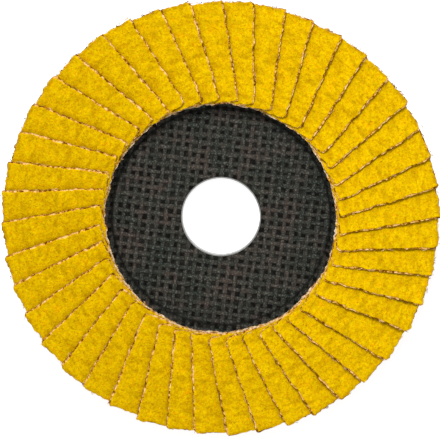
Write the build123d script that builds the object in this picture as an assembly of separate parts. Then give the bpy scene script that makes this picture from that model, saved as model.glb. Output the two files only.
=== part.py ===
from build123d import *
import math
import os

# Flap disc for an angle grinder, 125 mm class, flat (type 27), lying on its back.
# Millimetres. The origin is the centre of the bore at the hub's back face,
# +Z points to the abrasive side, +Y is the twelve o'clock of the flap ring.

# Bore and its steel eyelet
bore_diameter = 22.23
eyelet_sheet = 0.35
eyelet_collar_diameter = 34.0
eyelet_mouth = 0.3
eyelet_clearance = 0.04

# Pressed glass-fibre backing plate with a depressed centre
plate_diameter = 116.0
hub_thickness = 3.3
flange_thickness = 2.5
flange_step = 3.0
floor_radius = 31.3
wall_run = 1.5
wall_thickness = 2.6
floor_fold = 0.7
shoulder_bevel = 0.6
heel_bevel = 1.4
flange_root_bevel = 1.4

# Glass mesh that stands out in relief on the hub floor
mesh_pitch = 2.42
mesh_pit = 0.92
mesh_relief = 0.35
mesh_angle = -6.6
mesh_land = 0.25

# Ring of flaps, cut from coated abrasive cloth
flap_count = 44
flap_length = 28.8
flap_width = 15.0
flap_thickness = 1.0
flap_inner_end = 32.9
flap_lead = 9.85
flap_gap = 0.15
first_flap_angle = -1.7

# Cured adhesive bed that the flaps stand in
bed_thickness = 1.3
bed_film = 0.3
bed_inner_margin = 1.2
bed_outer_margin = 1.2

# Derived sizes
bore_radius = bore_diameter / 2
eyelet_radius = bore_radius + eyelet_sheet
collar_radius = eyelet_collar_diameter / 2
plate_radius = plate_diameter / 2
flange_inner_radius = floor_radius + wall_run
flange_top = hub_thickness + flange_step
flange_bottom = flange_top - flange_thickness
flap_pitch = 360 / flap_count
root_arc = flap_inner_end * math.radians(flap_pitch)
flap_lean = math.degrees(math.asin((flap_thickness + flap_gap) / root_arc))


def corner(face, radius, height):
    """Corner of a section in the XZ plane nearest to a radius and a height."""
    return face.vertices().sort_by_distance((radius, 0, height))[0]


def turned(outline, bevels):
    """Solid turned about Z from (radius, height) points, with some corners bevelled."""
    section = make_face(Polyline([(radius, 0, height) for radius, height in outline], close=True))
    for radius, height, bevel in bevels:
        section = chamfer(corner(section, radius, height), bevel)
    return revolve(section, Axis.Z)


def centre_ring():
    """Steel eyelet: a thin tube through the hub with a flat collar on the back."""
    outline = [
        (bore_radius, 0),
        (collar_radius, 0),
        (collar_radius, eyelet_sheet),
        (eyelet_radius, eyelet_sheet),
        (eyelet_radius, hub_thickness),
        (bore_radius, hub_thickness),
    ]
    return turned(outline, [(bore_radius, 0, eyelet_mouth)])


def plate_body():
    """Plate without its mesh: hub floor, steep wall and flange, seated round the eyelet."""
    seat_radius = eyelet_radius + eyelet_clearance
    recess_radius = collar_radius + eyelet_clearance
    recess_depth = eyelet_sheet + eyelet_clearance
    wall_slope = math.atan2(flange_step, wall_run)
    back_offset = wall_thickness / math.sin(wall_slope)
    back_start = floor_radius + back_offset - hub_thickness / math.tan(wall_slope)
    back_end = back_start + flange_bottom / math.tan(wall_slope)
    floor = hub_thickness - mesh_relief
    outline = [
        (seat_radius, recess_depth),
        (recess_radius, recess_depth),
        (recess_radius, 0),
        (back_start, 0),
        (back_end, flange_bottom),
        (plate_radius, flange_bottom),
        (plate_radius, flange_top),
        (flange_inner_radius, flange_top),
        (floor_radius, hub_thickness),
        (floor_radius - mesh_relief / math.tan(wall_slope), floor),
        (seat_radius, floor),
    ]
    bevels = [
        (back_start, 0, heel_bevel),
        (back_end, flange_bottom, flange_root_bevel),
        (flange_inner_radius, flange_top, shoulder_bevel),
    ]
    return turned(outline, bevels)


def mesh_layer():
    """Woven mesh on the hub floor: two crossing sets of ridges with square pits between."""
    inner = eyelet_radius + eyelet_clearance
    outer = floor_radius - floor_fold
    reach = math.ceil(outer / mesh_pitch)
    half_diagonal = mesh_pit / math.sqrt(2)
    pits = []
    for column in range(-reach, reach + 1):
        for row in range(-reach, reach + 1):
            centre = math.hypot(column, row) * mesh_pitch
            if inner + mesh_land + half_diagonal < centre < outer - mesh_land - half_diagonal:
                place = Pos(column * mesh_pitch, row * mesh_pitch)
                pits.append(place * Wire.make_rect(mesh_pit, mesh_pit))
    bore = Wire.make_circle(inner)
    layer = Face(Wire.make_circle(outer), [bore] + pits)
    return Pos(0, 0, hub_thickness - mesh_relief) * Rot(0, 0, mesh_angle) * extrude(layer, mesh_relief)


def backing_plate():
    """Backing plate with the mesh of its front face."""
    return plate_body().fuse(mesh_layer(), glue=True)


def flap(index):
    """One flap: a cloth rectangle standing in the bed and leaning over the next one."""
    blank = Box(flap_length, flap_width, flap_thickness, align=(Align.MIN, Align.MAX, Align.MIN))
    lean = math.radians(flap_lean)
    root_side = flap_width * math.cos(lean) - flap_thickness * math.sin(lean) - flap_lead
    seat = Pos(flap_inner_end, root_side, flange_top + bed_film)
    clock_angle = first_flap_angle + index * flap_pitch
    return Rot(0, 0, 90 - clock_angle) * seat * Rot(-flap_lean, 0, 0) * blank


def adhesive_ring(flaps):
    """Resin bed on the flange, slotted by the roots of the flaps that stand in it."""
    inner = flange_inner_radius + bed_inner_margin
    outer = plate_radius - bed_outer_margin
    bed = Cylinder(outer, bed_thickness, align=(Align.CENTER, Align.CENTER, Align.MIN))
    bed -= Cylinder(inner, bed_thickness, align=(Align.CENTER, Align.CENTER, Align.MIN))
    return Pos(0, 0, flange_top) * bed - flaps


def write(name, shape):
    shape.label = name
    export_step(shape, f"parts/{name}.step")


os.makedirs("parts", exist_ok=True)
flaps = [flap(index) for index in range(flap_count)]
write("backing_plate", backing_plate())
write("centre_ring", centre_ring())
write("adhesive_ring", adhesive_ring(flaps))
for index, piece in enumerate(flaps):
    write(f"flap_{index + 1:02d}", piece)
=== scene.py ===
"""Flap disc: the looks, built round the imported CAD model, in metres and in its frame."""
import bpy
import math
import numpy as np
from mathutils import Matrix, Vector
from types import SimpleNamespace


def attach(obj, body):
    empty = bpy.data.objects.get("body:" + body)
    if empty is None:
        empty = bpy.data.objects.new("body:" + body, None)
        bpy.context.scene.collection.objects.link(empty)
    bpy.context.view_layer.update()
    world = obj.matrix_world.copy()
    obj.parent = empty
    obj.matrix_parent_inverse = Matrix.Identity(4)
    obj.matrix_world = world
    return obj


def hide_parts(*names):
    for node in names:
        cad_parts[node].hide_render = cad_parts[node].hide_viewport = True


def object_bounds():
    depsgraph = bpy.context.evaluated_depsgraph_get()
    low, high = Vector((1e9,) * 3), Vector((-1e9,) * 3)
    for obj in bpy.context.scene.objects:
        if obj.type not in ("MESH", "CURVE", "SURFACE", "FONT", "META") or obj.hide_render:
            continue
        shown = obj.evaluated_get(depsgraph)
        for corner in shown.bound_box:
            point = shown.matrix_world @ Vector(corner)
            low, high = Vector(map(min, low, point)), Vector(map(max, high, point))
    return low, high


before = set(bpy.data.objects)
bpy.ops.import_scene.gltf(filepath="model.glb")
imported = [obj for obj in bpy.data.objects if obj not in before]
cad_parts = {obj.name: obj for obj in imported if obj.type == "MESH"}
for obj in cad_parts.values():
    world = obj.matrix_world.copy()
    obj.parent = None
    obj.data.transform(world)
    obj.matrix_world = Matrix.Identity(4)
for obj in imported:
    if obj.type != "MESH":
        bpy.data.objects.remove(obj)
cad_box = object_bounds()

MM = 0.001
SEED = 2311

# Camera: almost straight above the abrasive side, a little towards twelve o'clock
IMAGE_WIDTH_PX = 440
IMAGE_CENTRE_PX = (220.0, 219.0)
DISC_CENTRE_PX = (220.4, 220.2)
PX_PER_MM = 3.515
CAMERA_TILT = math.radians(7.4)
CAMERA_SIDE_TILT = math.radians(1.3)
CAMERA_DISTANCE = 0.9
CAMERA_NEAREST = 0.01
SENSOR = 0.036

# Light: one soft lamp past twelve o'clock, an even white surround and a white floor
LAMP_PLACE = (-0.08, 0.50, 0.80)
LAMP_DIAMETER = 0.32
LAMP_POWER = 6.2
SURROUND_STRENGTH = 0.54
FLOOR_REACH = 1.2
FLOOR_GREY = 0.7
FLOOR_GLOW = 0.72

# Backing plate, as in the CAD
BORE_SEAT = 11.505 * MM
COLLAR_SEAT = 17.04 * MM
COLLAR_DEPTH = 0.39 * MM
FLOOR_RADIUS = 31.3 * MM
FLOOR_TOP = 3.3 * MM
SHOULDER_RADIUS = 32.8 * MM
FLANGE_TOP = 6.3 * MM
FLANGE_BOTTOM = 3.8 * MM
PLATE_RADIUS = 58.0 * MM
HEEL_RADIUS = 32.56 * MM
ROOT_RADIUS = 34.46 * MM
FRONT_LINE = [
    (BORE_SEAT, FLOOR_TOP),
    (FLOOR_RADIUS, FLOOR_TOP),
    (SHOULDER_RADIUS, FLANGE_TOP),
    (PLATE_RADIUS, FLANGE_TOP),
]
BACK_LINE = [
    (BORE_SEAT, 0.0),
    (HEEL_RADIUS, 0.0),
    (ROOT_RADIUS, FLANGE_BOTTOM),
    (PLATE_RADIUS, FLANGE_BOTTOM),
]

# Resin body of the plate, which lies behind the yarns
PIT_DEPTH = 0.36 * MM
BACK_SKIN = 0.3 * MM
BEND = 0.5 * MM
RIM_BEND = 0.3 * MM
BEND_POINTS = 5
HIDDEN_RISE = 0.4 * MM
PLATE_STEP = 0.8 * MM
PLATE_SEGMENTS = 300
RESIN_WAVE_LENGTH = 2.2 * MM
RESIN_WAVE_DEPTH = 0.03 * MM

# Glass mesh: plain weave of flat yarns
WEAVE_PITCH = 2.42 * MM
WEAVE_ANGLE = math.radians(-6.6)
WEAVE_PHASE = (0.0, -0.04)
YARN_HALF_WIDTH = 0.76 * MM
YARN_HALF_HEIGHT = 0.11 * MM
YARN_SWING = 0.10 * MM
FRONT_YARN_STEPS = 7
BACK_YARN_STEPS = 4
FRONT_MESH_MARGIN = 0.6 * MM
BACK_MESH_MARGIN = 0.1 * MM

# Step between one yarn's texture and the next one's, so that no two yarns look alike
YARN_UV_SHIFT = 7.3

# Section of a yarn, in half widths and half heights; the last point is its underside
SECTION_ACROSS = np.array([-1.0, -0.72, -0.3, 0.3, 0.72, 1.0, 0.0])
SECTION_LIFT = np.array([-0.3, 0.55, 0.97, 0.97, 0.55, -0.3, -1.0])

# Faults of the weave: how much yarns drift, sway, slacken and get squashed, and over what length
YARN_DRIFT = 0.10 * MM
YARN_SWAY = 0.18 * MM
SWAY_LENGTH = 4.0 * MM
YARN_SLACK = 0.2
SLACK_LENGTH = 3.0 * MM
YARN_SQUASH = 0.24
SQUASH_LENGTH = 2.0 * MM
YARN_WIDTHS = (0.90, 1.05)

# Painted shade on the yarns: darker at the crossings beneath, down their flanks and in the plate's fold
CROSSING_SHADE = 0.12
FLANK_SHADE = 0.44
FOLD_SHADE = 0.6
FOLD_REACH = 0.35 * MM

# Flaps: cloth with a coat of grain on top
FLAP_COUNT = 44
CLOTH_THICKNESS = 0.5 * MM
GRID_STEP = 0.37 * MM
EDGE_STEPS = np.array([0.0, 0.09, 0.19, 0.3, 0.43, 0.6]) * MM
UNDERSIDE_STEPS = 4

# How far the flaps stand off their even places
TURN = math.radians(-0.25)
DRIFT = math.radians(1.70)
DRIFT_PEAK = math.radians(24.4)
WIDE_PITCHES = {16: math.radians(1.98), 23: math.radians(0.52), 33: math.radians(0.45)}
ANGLE_JITTER = math.radians(0.3)
YAW_JITTER = math.radians(0.45)
SHIFT_OUT = (-0.15 * MM, 0.32 * MM)
LONGER = (0.10 * MM, 0.45 * MM)

# Rough outline and coat of a flap; noise is given as (size of its bumps, its depth), and the
# ripple's wander as (size of its bumps, shift in radians)
CUT_TEETH = ((0.8 * MM, 0.20 * MM), (2.5 * MM, 0.20 * MM))
TOOTH_REACH = 0.7 * MM
CORNER_RADII = (0.3 * MM, 1.5 * MM)
COAT_CHIPS = ((1.1 * MM, 0.15 * MM), (3.5 * MM, 0.15 * MM))
COAT_SLOPE = 0.12 * MM
COATED_FROM = 0.45
BARE_ROOT = 0.02 * MM
BARE_LEAD = 0.21 * MM
BARE_OUTER = 0.07 * MM
BARE_INNER = 0.14 * MM
BARE_INNERMOST = 0.33 * MM
WORN_GRAIN = (0.6 * MM, 0.05 * MM)
WORN_LUMPS = (1.7 * MM, 0.06 * MM)
WORN_RIPPLE = (2.9 * MM, 0.03 * MM)
RIPPLE_WANDER = (6.0 * MM, 3.0)
UNDERSIDE_RELIEF = (1.2 * MM, 0.02 * MM)

# Bend of a flap towards its free corner
FREE_POWER = 1.5
SAG = (-0.45 * MM, -0.05 * MM)
WAVE = (9.0 * MM, 0.12 * MM)

# Frayed cloth on the part of the inner end that lies nearest to the axis
FRAYED_AT = 4.84 * MM
FRAYED_SPREAD = 3.2 * MM
FRAYED_REACH = 0.55 * MM
# Inner end's wall: the shade at its foot, which keeps painted shade off it, and how much paler its crest is
INNER_END_FOOT_SHADE = 0.85
FRAYED_CREST = 0.8

# Painted shadow on the coat along the edge of the flap above, and dust at the rim. The leading
# edge of a flap lies off the line that runs through the axis and along the flap
LEAD_OFFSET = 9.85 * MM
EDGE_SHADOW_REACH = 0.9 * MM
WEAKER_SHADOW_AT_INNER_END = 0.65
RIM_DUST = 0.35
RIM_DUST_REACH = 0.9 * MM
RIM_DUST_PATCHES = 1.8 * MM

# Loose yarn ends along the cuts, more of them at the rim near twelve o'clock. None of them runs
# in the direction of MOSTLY_UP
THREADS_PER_FLAP = 26
RIM_SHARE = 0.30
RIM_SHARE_AT_TOP = 0.25
THREAD_PLACES = ["lead", "lead", "lead", "inner"]
THREAD_POINTS = 5
THREAD_ALONG = (0.02, 0.98)
THREAD_LENGTH = (0.5 * MM, 2.0 * MM)
THREAD_RADIUS = (0.04 * MM, 0.09 * MM)
THREAD_WANDER = 0.05 * MM
THREAD_CURL = (1.5, 3.0)
THREAD_HEIGHT = (0.3, 1.0)
THREAD_DROOP = (-0.15 * MM, 0.12 * MM)
THREAD_STAND_OUT = (-0.05 * MM, 0.22 * MM)
RIM_THREAD_STAND_OUT = (0.0, 0.5 * MM)
SHORTER_AT_ENDS = 0.6
THREAD_TIPS = (0.5, 0.35)
THREAD_SIDES = 4
MOSTLY_UP = (0.13, 0.21, 0.97)

# Order of a flap's materials
COAT, CUT, CLOTH, THREAD = range(4)

# Edges that bend by more than this are drawn sharp
SHARP_BEND = math.radians(50)
SHARP_YARN_BEND = math.radians(75)

# Limits of reckoning: distances closer than this are equal, decimals of a corner's place in
# metres, and the least value to divide by
TOUCHING = 1e-9
CORNER_DECIMALS = 7
TINY = 1e-12


def value_noise(rng, x, y, cell):
    """Smooth random field from -1 to 1 at the points x, y, with bumps one cell apart."""
    gx, gy = x / cell, y / cell
    gx, gy = gx - np.floor(gx.min()), gy - np.floor(gy.min())
    lattice = rng.uniform(-1, 1, (int(gx.max()) + 2, int(gy.max()) + 2))
    i, j = gx.astype(int), gy.astype(int)
    fx, fy = smooth_step(gx - i), smooth_step(gy - j)
    low = lattice[i, j] * (1 - fx) + lattice[i + 1, j] * fx
    high = lattice[i, j + 1] * (1 - fx) + lattice[i + 1, j + 1] * fx
    return low * (1 - fy) + high * fy


def smooth_step(value):
    """Eases a value from 0 to 1, and holds it there outside that range."""
    value = np.clip(value, 0, 1)
    return value * value * (3 - 2 * value)


def unit_noise(rng, x, y, cell):
    """Smooth random field from 0 to 1."""
    return 0.5 + 0.5 * value_noise(rng, x, y, cell)


def layered_noise(rng, x, y, layers):
    """Sum of noise layers, each (size of its bumps, its depth)."""
    return sum(value_noise(rng, x, y, size) * depth for size, depth in layers)


def turned(points, angle):
    """Points turned about Z, counterclockwise from above."""
    return points @ np.array(Matrix.Rotation(angle, 3, "Z")).T


def make_piece(name, points, faces, materials, slots=None, uv=None, shade=None, sharp=SHARP_BEND):
    """A mesh object at the origin.

    slots holds a material's number for each face, and uv a place for each point. shade holds a
    value for each point or face corner, which the materials read: see Finish.shade.
    """
    mesh = bpy.data.meshes.new(name)
    mesh.from_pydata(points.tolist(), [], faces.tolist() if isinstance(faces, np.ndarray) else faces)
    for material in materials:
        mesh.materials.append(material)
    if slots is not None:
        mesh.polygons.foreach_set("material_index", np.asarray(slots, np.int32))
    if uv is not None:
        loops = np.zeros(len(mesh.loops), np.int32)
        mesh.loops.foreach_get("vertex_index", loops)
        layer = mesh.uv_layers.new(name="surface")
        layer.data.foreach_set("uv", uv[loops].astype(np.float32).ravel())
    if shade is not None:
        domain = "POINT" if len(shade) == len(points) else "CORNER"
        layer = mesh.attributes.new("shade", "FLOAT", domain)
        layer.data.foreach_set("value", np.asarray(shade, np.float32))
    mesh.shade_smooth()
    mesh.set_sharp_from_angle(angle=sharp)
    mesh.update()
    piece = bpy.data.objects.new(name, mesh)
    bpy.context.scene.collection.objects.link(piece)
    return piece


def grid_faces(rows, columns, wrap_rows=False, wrap_columns=False, start=0):
    """Quads over a rows x columns lattice of points numbered row by row."""
    last_row = rows if wrap_rows else rows - 1
    last_column = columns if wrap_columns else columns - 1
    r, c = np.meshgrid(np.arange(last_row), np.arange(last_column), indexing="ij")
    r2, c2 = (r + 1) % rows, (c + 1) % columns
    quads = np.stack([r * columns + c, r * columns + c2, r2 * columns + c2, r2 * columns + c], -1)
    return quads.reshape(-1, 4) + start


# ---------------------------------------------------------------- materials

class Finish:
    """A Principled material under construction: short calls that add nodes."""

    def __init__(self, name, **sockets):
        self.material = bpy.data.materials.new(name)
        self.material.use_nodes = True
        self.tree = self.material.node_tree
        self.shader = self.tree.nodes["Principled BSDF"]
        for socket, value in sockets.items():
            self.shader.inputs[socket.replace("_", " ")].default_value = value

    def node(self, kind, **values):
        made = self.tree.nodes.new(kind)
        for key, value in values.items():
            setattr(made, key, value)
        return made

    def link(self, source, target):
        self.tree.links.new(source, target)

    def place(self, space, scale=(1, 1, 1)):
        """Texture coordinates in millimetres, stretched by a scale."""
        coordinates = self.node("ShaderNodeTexCoord")
        mapping = self.node("ShaderNodeMapping", vector_type="POINT")
        mapping.inputs["Scale"].default_value = [s / (MM if space == "Object" else 1) for s in scale]
        self.link(coordinates.outputs[space], mapping.inputs["Vector"])
        return mapping.outputs["Vector"]

    def shade(self):
        """The mesh's own shade.

        It is 1 on clean high places and 0 under painted shade: in recesses, at the foot of a cut and
        along the edge of the flap above. Dust at the rim lowers it too. On a flap it rises to 2 where
        the cloth is frayed.
        """
        return self.node("ShaderNodeAttribute", attribute_name="shade").outputs["Fac"]

    def noise(self, where, size, detail=3.0, roughness=0.6, distortion=0.0):
        """Noise from 0 to 1 with features of a size in millimetres."""
        made = self.node("ShaderNodeTexNoise")
        made.inputs["Scale"].default_value = 1 / size
        made.inputs["Detail"].default_value = detail
        made.inputs["Roughness"].default_value = roughness
        made.inputs["Distortion"].default_value = distortion
        self.link(where, made.inputs["Vector"])
        return made.outputs["Fac"]

    def cells(self, where, size, output="Distance"):
        """Random cells of a size in millimetres: the distance to each one's middle, or its colour."""
        made = self.node("ShaderNodeTexVoronoi", feature="F1")
        made.inputs["Scale"].default_value = 1 / size
        self.link(where, made.inputs["Vector"])
        return made.outputs[output]

    def ramp(self, source, *stops):
        """Colours along a value: stops are (position, (r, g, b))."""
        made = self.node("ShaderNodeValToRGB")
        elements = made.color_ramp.elements
        while len(elements) < len(stops):
            elements.new(0.5)
        for element, (position, colour) in zip(elements, stops):
            element.position = position
            element.color = (*colour, 1)
        self.link(source, made.inputs["Fac"])
        return made.outputs["Color"]

    def mix(self, factor, first, second, blend="MIX"):
        """Mix of two colours; each may be a socket or a plain (r, g, b)."""
        made = self.node("ShaderNodeMix", data_type="RGBA", blend_type=blend)
        for value, socket in ((factor, made.inputs[0]), (first, made.inputs[6]), (second, made.inputs[7])):
            if isinstance(value, (int, float)):
                socket.default_value = value
            elif isinstance(value, tuple):
                socket.default_value = (*value, 1)
            else:
                self.link(value, socket)
        return made.outputs[2]

    def times(self, first, second):
        """Product of two colours or values."""
        return self.mix(1.0, first, second, blend="MULTIPLY")

    def scaled(self, source, low, high, new_low=0.0, new_high=1.0):
        """A value whose range low to high becomes new_low to new_high, and stops there."""
        made = self.node("ShaderNodeMapRange")
        for key, value in (("From Min", low), ("From Max", high), ("To Min", new_low), ("To Max", new_high)):
            made.inputs[key].default_value = value
        self.link(source, made.inputs["Value"])
        return made.outputs["Result"]

    def bump(self, source, depth, before=None):
        """Bump of a depth in millimetres on top of an earlier one."""
        made = self.node("ShaderNodeBump")
        made.inputs["Strength"].default_value = 1.0
        made.inputs["Distance"].default_value = depth * MM
        self.link(source, made.inputs["Height"])
        if before is not None:
            self.link(before, made.inputs["Normal"])
        return made.outputs["Normal"]

    def colour(self, source):
        self.link(source, self.shader.inputs["Base Color"])

    def roughness(self, source):
        self.link(source, self.shader.inputs["Roughness"])

    def normal(self, source):
        self.link(source, self.shader.inputs["Normal"])


def grain_finish():
    """Yellow abrasive coat: mottled, banded across the flap, with fine grain and dark specks, painted
    shadow along the edge of the flap above and dust at the rim.
    """
    finish = Finish("grain_coat", Roughness=0.85, Specular_IOR_Level=0.02)
    where = finish.place("Object")
    across = finish.place("UV", scale=(1.0, 0.42, 1))
    olive, dust_and_shadow_colour, dark = (0.540, 0.300, 0.0005), (0.420, 0.190, 0.0004), (0.260, 0.120, 0.0005)

    patches = finish.noise(where, size=3.0, detail=5.0, roughness=0.7, distortion=0.6)
    base = finish.ramp(
        patches,
        (0.28, (0.660, 0.375, 0.0004)),
        (0.44, (0.780, 0.475, 0.0005)),
        (0.58, (0.850, 0.535, 0.0006)),
        (0.72, (0.920, 0.440, 0.0005)),
    )
    bands = finish.noise(across, size=1.6, detail=1.5, roughness=0.5, distortion=0.4)
    base = finish.mix(finish.scaled(bands, 0.48, 0.70, 0.0, 0.66), base, olive)

    tones = finish.ramp(
        finish.cells(where, size=0.34, output="Color"),
        (0.14, (0.89, 0.83, 0.6)),
        (0.36, (1.03, 0.92, 0.7)),
        (0.60, (0.96, 1.06, 0.8)),
        (0.84, (1.06, 1.13, 1.3)),
    )
    base = finish.times(base, tones)
    tones = finish.ramp(
        finish.noise(where, size=0.75, detail=3.0, roughness=0.7),
        (0.34, (0.78, 0.72, 0.5)),
        (0.48, (0.98, 0.97, 0.8)),
        (0.66, (1.10, 1.12, 1.0)),
    )
    base = finish.times(base, tones)

    # Painted shadow along the edge of the flap above, and dust at the rim, where the shade is low
    dust_and_shadow = finish.scaled(finish.shade(), 0.0, 1.0, 0.50, 0.0)
    dust_and_shadow = finish.times(dust_and_shadow, finish.scaled(finish.noise(where, size=1.2), 0.35, 0.6))
    base = finish.mix(dust_and_shadow, base, dust_and_shadow_colour)
    specks = finish.noise(where, size=0.50, detail=2.0, roughness=0.7)
    finish.colour(finish.mix(finish.scaled(specks, 0.61, 0.71, 0.0, 0.75), base, dark))

    relief = finish.bump(finish.cells(where, size=0.34), depth=0.05)
    lumps = finish.noise(where, size=0.9, detail=4.0, roughness=0.7)
    finish.normal(finish.bump(lumps, depth=0.18, before=relief))
    return finish.material


def cut_finish():
    """Cut edge of the cloth: brown where resin and dust hold it, darker towards its foot with painted
    shade, pale where it is frayed.
    """
    finish = Finish("cut_cloth", Roughness=0.9, Specular_IOR_Level=0.02)
    where = finish.place("Object")
    base = finish.ramp(
        finish.noise(where, size=1.5, detail=4.0, roughness=0.75),
        (0.42, (0.150, 0.052, 0.001)),
        (0.48, (0.500, 0.210, 0.008)),
        (0.53, (0.850, 0.450, 0.110)),
        (0.61, (0.980, 0.680, 0.330)),
    )
    # Painted shade that darkens each cut towards its foot
    painted_foot_shade = finish.scaled(finish.shade(), 0.15, 0.95, 0.85, 0.0)
    base = finish.mix(painted_foot_shade, base, (0.240, 0.105, 0.001))
    lint = finish.ramp(
        finish.noise(where, size=0.6, detail=3.0, roughness=0.7),
        (0.40, (0.420, 0.210, 0.040)),
        (0.50, (0.800, 0.580, 0.330)),
        (0.60, (0.940, 0.830, 0.660)),
    )
    frayed = finish.scaled(finish.shade(), 1.2, 1.6, 0.0, 0.92)
    finish.colour(finish.mix(frayed, base, lint))

    fibres = finish.noise(finish.place("Object", scale=(1, 1, 0.3)), size=0.12, detail=2.0)
    relief = finish.bump(fibres, depth=0.05)
    finish.normal(finish.bump(finish.noise(where, size=0.5), depth=0.10, before=relief))
    return finish.material


def cloth_finish():
    """Underside of the cloth: plain weave, peach brown, blotched by the resin it was dipped in."""
    finish = Finish("backing_cloth", Roughness=0.9, Specular_IOR_Level=0.08)
    where = finish.place("UV")
    warp = finish.node("ShaderNodeTexWave", wave_type="BANDS", bands_direction="X")
    weft = finish.node("ShaderNodeTexWave", wave_type="BANDS", bands_direction="Y")
    for yarns in (warp, weft):
        yarns.inputs["Scale"].default_value = 0.62
        yarns.inputs["Distortion"].default_value = 0.5
        finish.link(where, yarns.inputs["Vector"])
    lattice = finish.times(warp.outputs["Fac"], weft.outputs["Fac"])
    base = finish.mix(lattice, (0.270, 0.120, 0.045), (0.700, 0.400, 0.200))
    blotches = finish.noise(where, size=4.0, detail=4.0, roughness=0.65)
    base = finish.mix(finish.scaled(blotches, 0.45, 0.65, 0.0, 0.6), base, (0.240, 0.095, 0.025))
    lint = finish.noise(where, size=0.5, detail=3.0)
    finish.colour(finish.mix(finish.scaled(lint, 0.58, 0.72, 0.0, 0.6), base, (0.850, 0.620, 0.420)))

    relief = finish.bump(warp.outputs["Fac"], depth=0.10)
    relief = finish.bump(weft.outputs["Fac"], depth=0.10, before=relief)
    finish.normal(finish.bump(finish.noise(where, size=0.25), depth=0.04, before=relief))
    return finish.material


def thread_finish():
    """Loose ends of cloth yarn."""
    finish = Finish("loose_thread", Roughness=0.95)
    where = finish.place("Object")
    tone = finish.ramp(
        finish.noise(where, size=1.4, detail=2.0),
        (0.42, (0.09, 0.035, 0.004)),
        (0.50, (0.42, 0.19, 0.05)),
        (0.60, (0.88, 0.56, 0.28)),
    )
    finish.colour(tone)
    finish.normal(finish.bump(finish.noise(where, size=0.12), depth=0.03))
    return finish.material


def plate_finish():
    """Dark phenolic resin between and behind the yarns."""
    finish = Finish("pressed_resin", Roughness=0.75, Specular_IOR_Level=0.12)
    where = finish.place("Object")
    tone = finish.ramp(
        finish.noise(where, size=2.2, detail=5.0, roughness=0.7),
        (0.46, (0.0025, 0.0021, 0.0010)),
        (0.66, (0.0300, 0.0285, 0.0220)),
    )
    finish.colour(tone)
    finish.roughness(finish.scaled(finish.noise(where, size=1.6), 0.3, 0.7, 0.55, 0.9))
    finish.normal(finish.bump(finish.noise(where, size=0.5, detail=4.0), depth=0.08))
    return finish.material


def yarn_finish():
    """Resin-soaked glass yarn: dark grey, dusty on top, with fibres along it, and painted shade where
    it dips under a crossing, down its flanks and in the plate's fold.
    """
    finish = Finish("mesh_yarn", Roughness=0.7, Specular_IOR_Level=0.15)
    where = finish.place("Object")
    fibre_dark, dust_and_shadow_colour, recess_shade_colour = (0.012, 0.012, 0.009), (0.160, 0.156, 0.132), (0.0045, 0.0042, 0.0030)
    base = finish.ramp(
        finish.noise(where, size=6.0, detail=5.0, roughness=0.65),
        (0.36, (0.018, 0.028, 0.022)),
        (0.50, (0.043, 0.044, 0.034)),
        (0.62, (0.074, 0.051, 0.041)),
    )
    fibres = finish.noise(finish.place("UV", scale=(0.5, 9, 1)), size=1.0, detail=3.0)
    base = finish.mix(finish.scaled(fibres, 0.35, 0.70, 0.0, 0.55), base, fibre_dark)
    # Pale dust in random specks on the yarns
    dust_and_shadow = finish.scaled(finish.noise(where, size=0.45, detail=3.0), 0.52, 0.65, 0.0, 0.90)
    base = finish.mix(dust_and_shadow, base, dust_and_shadow_colour)
    # Painted shade where the yarn dips under a crossing, down its flanks and in the fold
    recess_shade = finish.scaled(finish.shade(), 0.40, 0.98, 0.97, 0.0)
    finish.colour(finish.mix(recess_shade, base, recess_shade_colour))
    finish.roughness(finish.scaled(fibres, 0.3, 0.7, 0.55, 0.85))

    relief = finish.bump(fibres, depth=0.05)
    finish.normal(finish.bump(finish.noise(where, size=0.35, detail=3.0), depth=0.06, before=relief))
    return finish.material


def steel_finish():
    """Pressed sheet steel, dull bright, with turning marks."""
    finish = Finish("ring_steel", Metallic=1.0, Roughness=0.38)
    where = finish.place("Object")
    tone = finish.noise(where, size=2.5, detail=4.0)
    finish.colour(finish.ramp(tone, (0.3, (0.34, 0.34, 0.33)), (0.7, (0.46, 0.46, 0.45))))
    marks = finish.noise(finish.place("Object", scale=(1, 1, 9)), size=0.8, detail=4.0)
    finish.roughness(finish.scaled(marks, 0.3, 0.7, 0.28, 0.55))
    finish.normal(finish.bump(marks, depth=0.012))
    return finish.material


def resin_finish():
    """Cured adhesive: amber brown, uneven and half glossy."""
    finish = Finish("cured_resin", Roughness=0.4)
    where = finish.place("Object")
    tone = finish.noise(where, size=1.8, detail=4.0)
    finish.colour(finish.ramp(tone, (0.3, (0.075, 0.030, 0.012)), (0.7, (0.260, 0.135, 0.065))))
    finish.roughness(finish.scaled(tone, 0.3, 0.7, 0.3, 0.65))
    finish.normal(finish.bump(finish.noise(where, size=0.7, detail=4.0), depth=0.25))
    return finish.material


def floor_finish():
    """White light table under the disc."""
    grey, white = (FLOOR_GREY, FLOOR_GREY, FLOOR_GREY, 1), (1, 1, 1, 1)
    glow = {"Base_Color": grey, "Emission_Color": white, "Emission_Strength": FLOOR_GLOW}
    return Finish("white_floor", Roughness=0.9, **glow).material


# ---------------------------------------------------------------- backing plate

def revolve_profile(profile, segments):
    """Points and quads of a closed profile of (radius, height) turned about Z."""
    profile = np.array(profile)
    angle = np.linspace(0, 2 * math.pi, segments, endpoint=False)
    radius, height = profile[:, 0], profile[:, 1]
    x = radius[:, None] * np.cos(angle)
    y = radius[:, None] * np.sin(angle)
    z = np.repeat(height[:, None], segments, 1)
    points = np.stack([x, y, z], -1).reshape(-1, 3)
    faces = grid_faces(len(profile), segments, wrap_rows=True, wrap_columns=True)
    return points, faces[:, ::-1]


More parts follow.
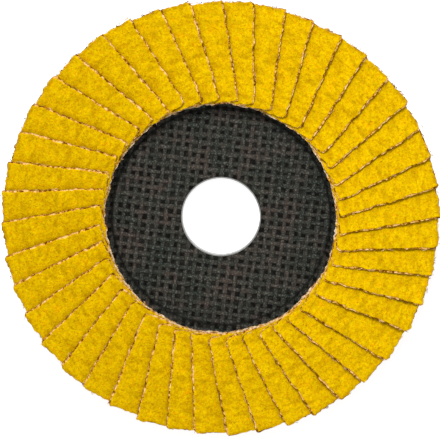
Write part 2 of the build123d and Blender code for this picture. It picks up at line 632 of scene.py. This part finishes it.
def rounded(corner, before, after, radius):
    """Points of a rounded corner between two neighbours of a profile."""
    corner, before, after = (np.array(p, float) for p in (corner, before, after))
    first = corner + (before - corner) / np.linalg.norm(before - corner) * radius
    last = corner + (after - corner) / np.linalg.norm(after - corner) * radius
    t = np.linspace(0, 1, BEND_POINTS)[:, None]
    return ((1 - t) ** 2 * first + 2 * t * (1 - t) * corner + t * t * last).tolist()


def run(first, last, step):
    """Evenly spaced points between two profile points, without its ends."""
    first, last = np.array(first, float), np.array(last, float)
    count = max(int(np.linalg.norm(last - first) / step), 1)
    t = np.arange(1, count)[:, None] / count
    return (first + (last - first) * t).tolist()


def drape(corners, radius):
    """Height of a line through rounded corners, each (radius, height), at the given radii."""
    path = [corners[0]]
    for before, corner, after in zip(corners, corners[1:], corners[2:]):
        path += rounded(corner, before, after, BEND)
    path = np.array(path + [corners[-1]])
    return np.interp(radius, path[:, 0], path[:, 1])


def plate_shell(material):
    """The plate's resin body, a pit's depth behind the yarns on both sides."""
    _, front_fold, front_shoulder, _ = [(r, z - PIT_DEPTH) for r, z in FRONT_LINE]
    _, back_heel, back_root, _ = [(r, z + BACK_SKIN) for r, z in BACK_LINE]
    outline = [
        ((BORE_SEAT, FLOOR_TOP - PIT_DEPTH), 0),
        (front_fold, BEND),
        (front_shoulder, BEND),
        ((ROOT_RADIUS - HIDDEN_RISE, FLANGE_TOP - PIT_DEPTH), 0),
        ((ROOT_RADIUS, FLANGE_TOP), 0),
        ((PLATE_RADIUS, FLANGE_TOP), RIM_BEND),
        ((PLATE_RADIUS, FLANGE_BOTTOM + BACK_SKIN), RIM_BEND),
        (back_root, BEND),
        (back_heel, BEND),
        ((COLLAR_SEAT, BACK_SKIN), 0),
        ((COLLAR_SEAT, COLLAR_DEPTH), 0),
        ((BORE_SEAT, COLLAR_DEPTH), 0),
    ]
    corners = [corner for corner, _ in outline]
    profile = []
    for index, (corner, radius) in enumerate(outline):
        before, after = corners[index - 1], corners[(index + 1) % len(corners)]
        bend = rounded(corner, before, after, radius) if radius else [list(corner)]
        profile += run(profile[-1], bend[0], PLATE_STEP) if profile else []
        profile += bend
    points, faces = revolve_profile(profile, PLATE_SEGMENTS)
    rng = np.random.default_rng(SEED)
    sink = np.abs(value_noise(rng, points[:, 0], points[:, 1], RESIN_WAVE_LENGTH)) * RESIN_WAVE_DEPTH
    front = points[:, 2] > FLANGE_BOTTOM
    points[:, 2] += np.where(front, -sink, sink)
    return make_piece("backing_plate_shell", points, faces, [material])


def yarn_runs(offset, inner, outer):
    """Stretches of a yarn that lie between two circles, by its distance from the axis."""
    if abs(offset) >= outer:
        return []
    far = math.sqrt(outer ** 2 - offset ** 2)
    if abs(offset) >= inner:
        return [(-far, far)]
    near = math.sqrt(inner ** 2 - offset ** 2)
    return [(-far, -near), (near, far)]


def weave_yarn(rng, along, offset, sideways_shift, cell, over, side):
    """One stretch of flat yarn: its points' place across, their height and their shade."""
    level = np.zeros_like(along)
    tight = 1 - YARN_SLACK + YARN_SLACK * value_noise(rng, along, level, SLACK_LENGTH)
    swing = YARN_SWING * tight * over * np.cos(math.pi * (cell - np.floor(cell) - 0.5))
    sway = YARN_SWAY * value_noise(rng, along, level, SWAY_LENGTH)
    squash = 1 + YARN_SQUASH * value_noise(rng, along, level, SQUASH_LENGTH)
    width = YARN_HALF_WIDTH * squash * rng.uniform(*YARN_WIDTHS)
    sideways = offset + sideways_shift + sway[:, None] + width[:, None] * SECTION_ACROSS
    middle = side * (swing - YARN_HALF_HEIGHT - YARN_SWING)
    height = middle[:, None] + side * YARN_HALF_HEIGHT * SECTION_LIFT
    # Painted shade: darker where the yarn dips under a crossing and down its flanks
    crown = 1 - CROSSING_SHADE + CROSSING_SHADE * (swing / YARN_SWING)[:, None]
    return sideways, height, crown * (1 - FLANK_SHADE + FLANK_SHADE * SECTION_LIFT)


def weave(name, inner, outer, line, side, material, steps, rng):
    """Plain weave of flat yarns between two circles, draped over a line of (radius, height).

    side is +1 for a face that looks up and -1 for one that looks down, and steps is the number of
    sections for each pitch of the weave.
    """
    ring = len(SECTION_ACROSS)
    reach = int(outer / WEAVE_PITCH) + 1
    points, faces, uv, shade = [], [], [], []
    start = 0
    for direction in (0, 1):
        flip = (side > 0) != (direction == 0)
        for index in range(-reach - 1, reach + 1):
            offset = (index + 0.5 + WEAVE_PHASE[direction]) * WEAVE_PITCH
            drift = rng.uniform(-1, 1) * YARN_DRIFT
            for low, high in yarn_runs(offset, inner, outer):
                count = max(int((high - low) / WEAVE_PITCH * steps), 3)
                along = np.linspace(low, high, count)
                cell = along / WEAVE_PITCH - WEAVE_PHASE[1 - direction]
                over = np.where((np.floor(cell) + index + direction) % 2 == 0, 1.0, -1.0)
                sideways, height, tone = weave_yarn(rng, along, offset, drift, cell, over, side)
                lengthways = np.repeat(along[:, None], ring, 1)
                pair = (sideways, lengthways) if direction == 0 else (lengthways, sideways)
                points.append(np.stack([*pair, height], -1).reshape(-1, 3))
                shade.append(tone.ravel())
                shift = index * YARN_UV_SHIFT
                uv.append(np.stack([lengthways / MM, (sideways - offset) / MM + shift], -1).reshape(-1, 2))
                quads = grid_faces(count, ring, wrap_columns=True, start=start)
                faces += (quads[:, ::-1] if flip else quads).tolist()
                first = list(range(start, start + ring))
                last = list(range(start + (count - 1) * ring, start + count * ring))
                faces += [first if flip else first[::-1], last[::-1] if flip else last]
                start += count * ring
    points = turned(np.concatenate(points), WEAVE_ANGLE)
    radius = np.hypot(points[:, 0], points[:, 1])
    points[:, :2] *= (np.clip(radius, inner, outer) / radius)[:, None]
    points[:, 2] += drape(line, np.clip(radius, inner, outer))
    # Painted shade on the yarns in the plate's fold
    fold_radius = line[1][0]
    fold = np.exp(-((radius - fold_radius) / FOLD_REACH) ** 2)
    uv, shade = np.concatenate(uv), np.concatenate(shade) * (1 - FOLD_SHADE * fold)
    return make_piece(name, points, faces, [material], uv=uv, shade=shade, sharp=SHARP_YARN_BEND)


# ---------------------------------------------------------------- flaps

def flap_axes(node):
    """Root corner, axes and size of a flap, read from the corners of its CAD box."""
    corners = np.array([v.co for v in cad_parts[node].data.vertices], float)
    corners = np.unique(corners.round(CORNER_DECIMALS), axis=0)
    centre = corners.mean(0)
    spread = np.linalg.svd(corners - centre, full_matrices=False)[2]
    outward, rising, upward = spread
    outward = outward * np.sign(outward @ centre)
    rising = rising * np.sign(rising[2])
    upward = upward * np.sign(upward[2])
    size = [np.ptp((corners - centre) @ axis) for axis in (outward, rising, upward)]
    root = centre - (outward * size[0] + rising * size[1] + upward * size[2]) / 2
    return root, outward, rising, upward, size


def graded(length):
    """Positions from 0 to a length, close together at both ends."""
    margin = EDGE_STEPS[-1]
    count = int((length - 2 * margin) / GRID_STEP)
    middle = np.linspace(margin, length - margin, count)
    return np.concatenate([EDGE_STEPS[:-1], middle, (length - EDGE_STEPS[:-1])[::-1]])


def flap_lattice(length, width):
    """Points over a flap, u outwards and s from its root, with their distance to each edge."""
    u, s = np.meshgrid(graded(length), graded(width), indexing="ij")
    edges = SimpleNamespace(inner=u, outer=length - u, root=s, lead=width - s)
    border = np.minimum.reduce([edges.inner, edges.outer, edges.root, edges.lead])
    return u, s, edges, border


def coarse_faces(rows, columns, every):
    """Faces over a rows x columns lattice, some points apart, that meet every point of its border."""
    row_lines = [*range(0, rows - 1, every), rows - 1]
    column_lines = [*range(0, columns - 1, every), columns - 1]
    faces = []
    for r0, r1 in zip(row_lines, row_lines[1:]):
        for c0, c1 in zip(column_lines, column_lines[1:]):
            first = [(r0, c) for c in (range(c0, c1) if r0 == 0 else [c0])]
            right = [(r, c1) for r in (range(r0, r1) if c1 == columns - 1 else [r0])]
            last = [(r1, c) for c in (range(c1, c0, -1) if r1 == rows - 1 else [c1])]
            left = [(r, c0) for r in (range(r1, r0, -1) if c0 == 0 else [r1])]
            faces.append([r * columns + c for r, c in first + right + last + left])
    return faces


def flap_skin(rows, columns):
    """Faces of a closed flap: its top, its coarser underside and the wall between them.

    The top's points come first, row by row, and then the underside's, of which only the kept ones
    are needed. loop lists the top's border points in order.
    """
    flat = rows * columns
    top = grid_faces(rows, columns)
    bottom = [face[::-1] for face in coarse_faces(rows, columns, UNDERSIDE_STEPS)]
    kept = np.unique(np.concatenate(bottom))
    below = np.zeros(flat, int)
    below[kept] = flat + np.arange(len(kept))
    index = np.arange(flat).reshape(rows, columns)
    loop = np.concatenate([index[:-1, 0], index[-1, :-1], index[:0:-1, -1], index[0, :0:-1]])
    after = np.roll(loop, -1)
    side = np.stack([after, below[after], below[loop], loop], -1)
    return top, [below[face].tolist() for face in bottom], side, kept, loop


def coat_cover(rng, u, s, edges, border, innermost):
    """How much of the coat stands at each point: none along the cuts, all of it further in."""
    chips = layered_noise(rng, u, s, COAT_CHIPS)
    bare = np.where(edges.lead <= border + TOUCHING, BARE_LEAD, BARE_ROOT)
    bare = np.where(edges.outer <= border + TOUCHING, BARE_OUTER, bare)
    bare = np.where(edges.inner <= border + TOUCHING, BARE_INNER + BARE_INNERMOST * innermost, bare)
    return smooth_step((border - bare - chips) / COAT_SLOPE)


def trim_corners(u, s, length, width, radii):
    """Rounds the four corners of a rectangle of points."""
    for (at_end, at_lead), radius in radii.items():
        du = (length - u) if at_end else u
        ds = (width - s) if at_lead else s
        a, b = np.clip(1 - du / radius, 0, 1), np.clip(1 - ds / radius, 0, 1)
        both = (a > 0) & (b > 0)
        pull = np.where(both, np.maximum(a, b) / np.maximum(np.hypot(a, b), TINY), 1)
        du = np.where(both, radius * (1 - a * pull), du)
        ds = np.where(both, radius * (1 - b * pull), ds)
        u = (length - du) if at_end else du
        s = (width - ds) if at_lead else ds
    return u, s


def rough_cut(rng, u, s, edges, length, width):
    """The lattice with rounded corners and cut edges that wander and fray."""
    teeth = layered_noise(rng, u, s, CUT_TEETH)
    near_lead, near_outer, near_inner = (
        np.exp(-distance / TOOTH_REACH) for distance in (edges.lead, edges.outer, edges.inner))
    radii = {(end, lead): rng.uniform(*CORNER_RADII) for end in (False, True) for lead in (False, True)}
    u, s = trim_corners(u, s, length, width, radii)
    return u + (teeth[-1:] * near_outer - teeth[:1] * near_inner), s + teeth[:, -1:] * near_lead


def flap_heights(rng, u, s, size, coat):
    """Height of the worn top and of the underside, and how far the free corner sags."""
    length, width, thickness = size
    grains = unit_noise(rng, u, s, WORN_GRAIN[0]) * WORN_GRAIN[1]
    lumps = unit_noise(rng, u, s, WORN_LUMPS[0]) * WORN_LUMPS[1]
    wander = value_noise(rng, u, s, RIPPLE_WANDER[0]) * RIPPLE_WANDER[1]
    ripple = (0.5 + 0.5 * np.sin(u / WORN_RIPPLE[0] * 2 * math.pi + wander)) * WORN_RIPPLE[1]
    high = CLOTH_THICKNESS + (thickness - CLOTH_THICKNESS - grains - lumps - ripple) * coat
    low = UNDERSIDE_RELIEF[1] * (1 + value_noise(rng, u, s, UNDERSIDE_RELIEF[0]))
    free = (u / length) ** FREE_POWER * (s / width)
    sag = free * rng.uniform(*SAG)
    bend = sag + free * value_noise(rng, u, s, WAVE[0]) * WAVE[1]
    return high + bend, low + bend, sag[-1, -1]


def edge_shadow_and_rim_dust(rng, u, s, edges, axes, pitch):
    """Painted shadow on the coat, deepest at the outline of the flap above, and thin dust at the rim."""
    root, outward, rising, _ = axes
    clockwise = np.array([outward[1], -outward[0], 0])
    reach = root @ outward + u
    across = root @ clockwise + s * (rising @ clockwise)
    past_lead = across * math.cos(pitch) + reach * math.sin(pitch) - LEAD_OFFSET
    short_of_end = reach[0, 0] - reach * math.cos(pitch) + across * math.sin(pitch)
    dust_and_shadow = np.exp(-np.clip(np.maximum(past_lead, short_of_end), 0, None) / EDGE_SHADOW_REACH)
    dust_and_shadow *= 1 - WEAKER_SHADOW_AT_INNER_END * smooth_step((short_of_end - past_lead) / MM)
    patches = 1 + value_noise(rng, u, s, RIM_DUST_PATCHES)
    return np.maximum(dust_and_shadow, RIM_DUST * np.exp(-edges.outer / RIM_DUST_REACH) * patches)


def frayed_threads(rng, length, width, count, rim_share):
    """Loose yarn ends along the cut edges: centre lines in the flap's own axes."""
    threads = []
    for _ in range(count):
        edge = "outer" if rng.uniform() < rim_share else rng.choice(THREAD_PLACES)
        along = rng.uniform(*THREAD_ALONG)
        reach = rng.uniform(*THREAD_LENGTH)
        steps = np.linspace(0, 1, THREAD_POINTS)
        wander = np.cumsum(rng.normal(0, THREAD_WANDER, THREAD_POINTS))
        stand_out = rng.uniform(*(RIM_THREAD_STAND_OUT if edge == "outer" else THREAD_STAND_OUT))
        out = stand_out * np.sin(steps * rng.uniform(*THREAD_CURL)) + wander
        height = CLOTH_THICKNESS * rng.uniform(*THREAD_HEIGHT) + steps * rng.uniform(*THREAD_DROOP)
        travel = (steps - 0.5) * reach * rng.choice([-1, 1])
        if edge == "lead":
            line = np.stack([along * length + travel, width + out, height], -1)
        elif edge == "inner":
            line = np.stack([-out, along * width + travel * SHORTER_AT_ENDS, height], -1)
        else:
            line = np.stack([length + out, along * width + travel * SHORTER_AT_ENDS, height], -1)
        threads.append((line, rng.uniform(*THREAD_RADIUS)))
    return threads


def tube(line, radius, start):
    """A thin tube along a line, closed at both ends and thinner there: its points and faces."""
    sides = THREAD_SIDES
    tangent = np.gradient(line, axis=0)
    tangent /= np.linalg.norm(tangent, axis=1)[:, None] + TINY
    side = np.cross(tangent, MOSTLY_UP)
    side /= np.linalg.norm(side, axis=1)[:, None] + TINY
    up = np.cross(side, tangent)
    turn = np.arange(sides) * 2 * math.pi / sides
    taper = np.array([THREAD_TIPS[0]] + [1.0] * (len(line) - 2) + [THREAD_TIPS[1]]) * radius
    ring = line[:, None] + taper[:, None, None] * (
        np.cos(turn)[None, :, None] * side[:, None] + np.sin(turn)[None, :, None] * up[:, None])
    faces = grid_faces(len(line), sides, wrap_columns=True, start=start).tolist()
    last = start + sides * (len(line) - 1)
    faces += [list(range(start, start + sides))[::-1], list(range(last, last + sides))]
    return ring.reshape(-1, 3), faces


def flap_turns():
    """How far each flap is turned from its even place in the ring, in radians, clockwise."""
    rng = np.random.default_rng(SEED)
    place = np.arange(FLAP_COUNT) / FLAP_COUNT
    turns = TURN + DRIFT * np.cos(2 * math.pi * place - DRIFT_PEAK)
    turns += rng.uniform(-1, 1, FLAP_COUNT) * ANGLE_JITTER
    for first, extra in WIDE_PITCHES.items():
        turns += extra * ((np.arange(1, FLAP_COUNT + 1) >= first) - place)
    return turns


def set_in_ring(rng, local, axes, size, turn):
    """Points of a flap moved from its own plane to its place in the ring, a little off true."""
    length, width, _ = size
    root, outward, rising, upward = axes
    yaw = rng.uniform(-1, 1) * YAW_JITTER
    shift_out = rng.uniform(*SHIFT_OUT)
    middle = length / 2
    du = (local[:, 0] - middle) * (1 + rng.uniform(*LONGER) / length)
    ds = local[:, 1] - width
    local[:, 0] = middle + du * math.cos(yaw) - ds * math.sin(yaw) + shift_out
    local[:, 1] = width + du * math.sin(yaw) + ds * math.cos(yaw)
    return turned(root + local @ np.array([outward, rising, upward]), -turn)


def flap_piece(number, turn, pitch, materials):
    """One flap: cloth with a rough cut outline, and a coat of grain that stops short of it.

    turn is how far it stands from its even place, and pitch how far from the flap above it.
    """
    rng = np.random.default_rng(SEED + number)
    node = f"flap_{number:02d}"
    *axes, size = flap_axes(node)
    length, width, _ = size
    u, s, edges, border = flap_lattice(length, width)
    innermost = np.exp(-((s - FRAYED_AT) / FRAYED_SPREAD) ** 2)
    coat = coat_cover(rng, u, s, edges, border, innermost)
    cut_u, cut_s = rough_cut(rng, u, s, edges, length, width)
    high, low, corner_sag = flap_heights(rng, u, s, size, coat)
    # Painted shadow along the edge of the flap above, and dust at the rim
    dust_and_shadow = edge_shadow_and_rim_dust(rng, u, s, edges, axes, pitch)

    top, bottom, side, kept, loop = flap_skin(*u.shape)
    points = [
        np.stack([cut_u, cut_s, high], -1).reshape(-1, 3),
        np.stack([cut_u, cut_s, low], -1).reshape(-1, 3)[kept],
    ]
    faces = top.tolist() + bottom + side.tolist()
    coated = coat.reshape(-1)[top].mean(1) > COATED_FROM
    slots = [COAT if c else CUT for c in coated] + [CLOTH] * len(bottom) + [CUT] * len(side)

    # Top's shade: lowered by that painted shadow and the rim dust, raised towards 2 by frayed cloth
    frayed = innermost * np.exp(-(edges.inner / FRAYED_REACH) ** 2)
    shade = ((1 - dust_and_shadow) * (1 - frayed) + 2 * frayed).ravel()[top].ravel().tolist()
    shade += [1.0] * sum(map(len, bottom))
    # Walls of the cut: painted shade towards their foot, hardly any of it on the inner end's wall
    inner = edges.inner.ravel()[loop] <= 0
    painted_foot_shade = np.where(inner, INNER_END_FOOT_SHADE, 0.0)
    crest = np.where(inner, 1 + FRAYED_CREST * innermost.ravel()[loop], 1.0)
    shade += np.stack([np.roll(crest, -1), np.roll(painted_foot_shade, -1), painted_foot_shade, crest], -1).ravel().tolist()

    start = sum(map(len, points))
    rim_share = RIM_SHARE + RIM_SHARE_AT_TOP * axes[1][1]
    for line, radius in frayed_threads(rng, length, width, THREADS_PER_FLAP, rim_share):
        line[:, 2] += np.interp(line[:, 0] / length, [0, 1], [0, corner_sag])
        ring, quads = tube(line, radius, start)
        points.append(ring)
        faces += quads
        slots += [THREAD] * len(quads)
        shade += [1.0] * sum(map(len, quads))
        start += len(ring)

    local = np.concatenate(points)
    uv = local[:, :2] / MM
    world = set_in_ring(rng, local, axes, size, turn)
    piece = make_piece(f"coated_{node}", world, faces, materials, slots=slots, uv=uv, shade=shade)
    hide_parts(node)
    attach(piece, "root")


# ---------------------------------------------------------------- stage

def add_floor():
    corners = np.array([(-1, -1, 0), (1, -1, 0), (1, 1, 0), (-1, 1, 0)]) * FLOOR_REACH
    floor = make_piece("floor", corners, [[0, 1, 2, 3]], [floor_finish()])


def add_lamp():
    data = bpy.data.lights.new("overhead", "AREA")
    data.shape = "DISK"
    data.size = LAMP_DIAMETER
    data.energy = LAMP_POWER
    lamp = bpy.data.objects.new("overhead", data)
    lamp.location = LAMP_PLACE
    lamp.rotation_euler = (-Vector(LAMP_PLACE)).to_track_quat("-Z", "Y").to_euler()
    bpy.context.scene.collection.objects.link(lamp)


def add_surround():
    world = bpy.data.worlds.new("soft_white")
    world.use_nodes = True
    background = world.node_tree.nodes["Background"]
    background.inputs["Color"].default_value = (1, 1, 1, 1)
    background.inputs["Strength"].default_value = SURROUND_STRENGTH
    bpy.context.scene.world = world


def add_camera():
    """A camera that looks at the top of the disc and puts its centre where the photograph has it."""
    top = cad_box[1][2]
    aim_x = (IMAGE_CENTRE_PX[0] - DISC_CENTRE_PX[0]) / PX_PER_MM * MM
    aim_y = (DISC_CENTRE_PX[1] - IMAGE_CENTRE_PX[1]) / PX_PER_MM * MM
    aim = Vector((aim_x, aim_y, top))
    away = Vector((math.sin(CAMERA_SIDE_TILT), math.sin(CAMERA_TILT), 1)).normalized()
    across = Vector((0, 1, 0)).cross(away).normalized()
    data = bpy.data.cameras.new("camera")
    data.sensor_fit = "HORIZONTAL"
    data.sensor_width = SENSOR / MM
    data.lens = SENSOR / MM * CAMERA_DISTANCE / (IMAGE_WIDTH_PX / PX_PER_MM * MM)
    data.clip_start = CAMERA_NEAREST
    camera = bpy.data.objects.new("camera", data)
    turn = Matrix((across, away.cross(across), away)).transposed()
    camera.matrix_world = Matrix.Translation(aim + away * CAMERA_DISTANCE) @ turn.to_4x4()
    bpy.context.scene.collection.objects.link(camera)
    bpy.context.scene.camera = camera


# ---------------------------------------------------------------- assembly

def ride_on_root(piece, slot, *nodes):
    if nodes:
        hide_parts(*nodes)
    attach(piece, "root")


def dress_cad(node, material):
    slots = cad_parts[node].data.materials
    slots.clear()
    slots.append(material)


flap_finishes = [grain_finish(), cut_finish(), cloth_finish(), thread_finish()]
yarn = yarn_finish()
add_camera()
add_surround()
add_lamp()
add_floor()

ride_on_root(plate_shell(plate_finish()), "pressed_mesh", "backing_plate")
rng = np.random.default_rng(SEED)
front_end = ROOT_RADIUS - FRONT_MESH_MARGIN
front_mesh = weave("front_mesh", BORE_SEAT, front_end, FRONT_LINE, 1, yarn, FRONT_YARN_STEPS, rng)
ride_on_root(front_mesh, "pressed_mesh")
back_end = PLATE_RADIUS - BACK_MESH_MARGIN
back_mesh = weave("back_mesh", COLLAR_SEAT, back_end, BACK_LINE, -1, yarn, BACK_YARN_STEPS, rng)
ride_on_root(back_mesh, "pressed_mesh")
dress_cad("centre_ring", steel_finish())
dress_cad("adhesive_ring", resin_finish())

turns = flap_turns()
for index in range(FLAP_COUNT):
    pitch = 2 * math.pi / FLAP_COUNT + turns[index] - turns[index - 1]
    flap_piece(index + 1, turns[index], pitch, flap_finishes)

bpy.context.scene.view_settings.view_transform = "Standard"
